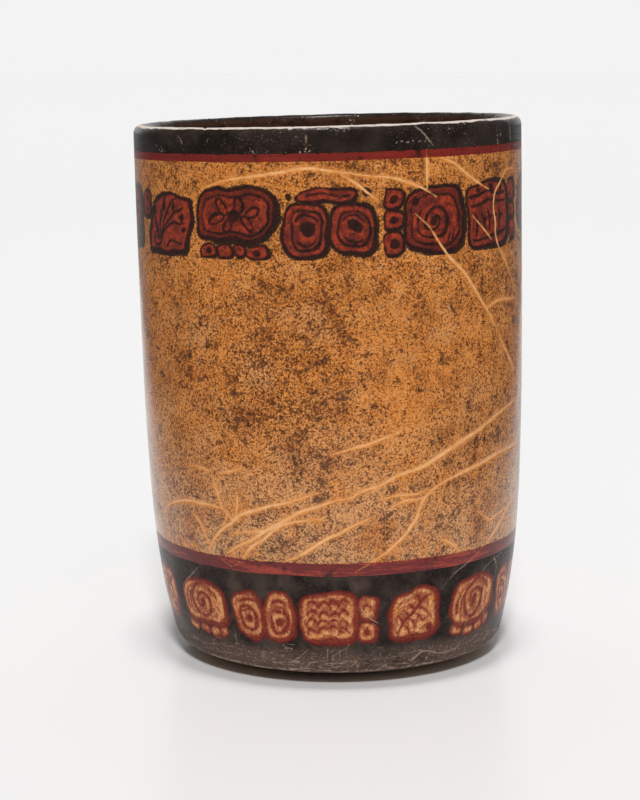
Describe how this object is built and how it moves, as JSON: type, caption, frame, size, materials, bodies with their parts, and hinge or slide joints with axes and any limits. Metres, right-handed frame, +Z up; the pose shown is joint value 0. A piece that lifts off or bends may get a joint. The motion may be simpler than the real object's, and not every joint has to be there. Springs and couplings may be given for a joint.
{
  "type": "cylinder vessel",
  "caption": "Tall hand-built clay cylinder vase, painted with bands of coloured slip, open at the top and flat underneath.",
  "frame": {"origin": "centre of the flat that the vase stands on, in the middle of its underside", "axes": "+Z up along the vase, -Y towards the viewer of the picture, +X to that viewer's right"},
  "size_m": [0.1388, 0.1378, 0.1927],
  "materials": {
    "clay": "matte low-fired clay",
    "black_slip": "burnished black slip",
    "red_slip": "burnished crimson slip",
    "orange_slip": "burnished orange slip with dark specks"
  },
  "bodies": {
    "root": {"base_disc": "clay", "wall_course_1": "clay", "wall_course_2": "clay", "wall_course_3": "clay", "wall_course_4": "clay", "wall_course_5": "clay", "wall_course_6": "clay", "lip_coil": "clay", "black_rim_slip": "black_slip", "upper_red_line": "red_slip", "orange_ground_slip": "orange_slip", "lower_red_line": "red_slip", "black_foot_slip": "black_slip"}
  },
  "joints": []
}
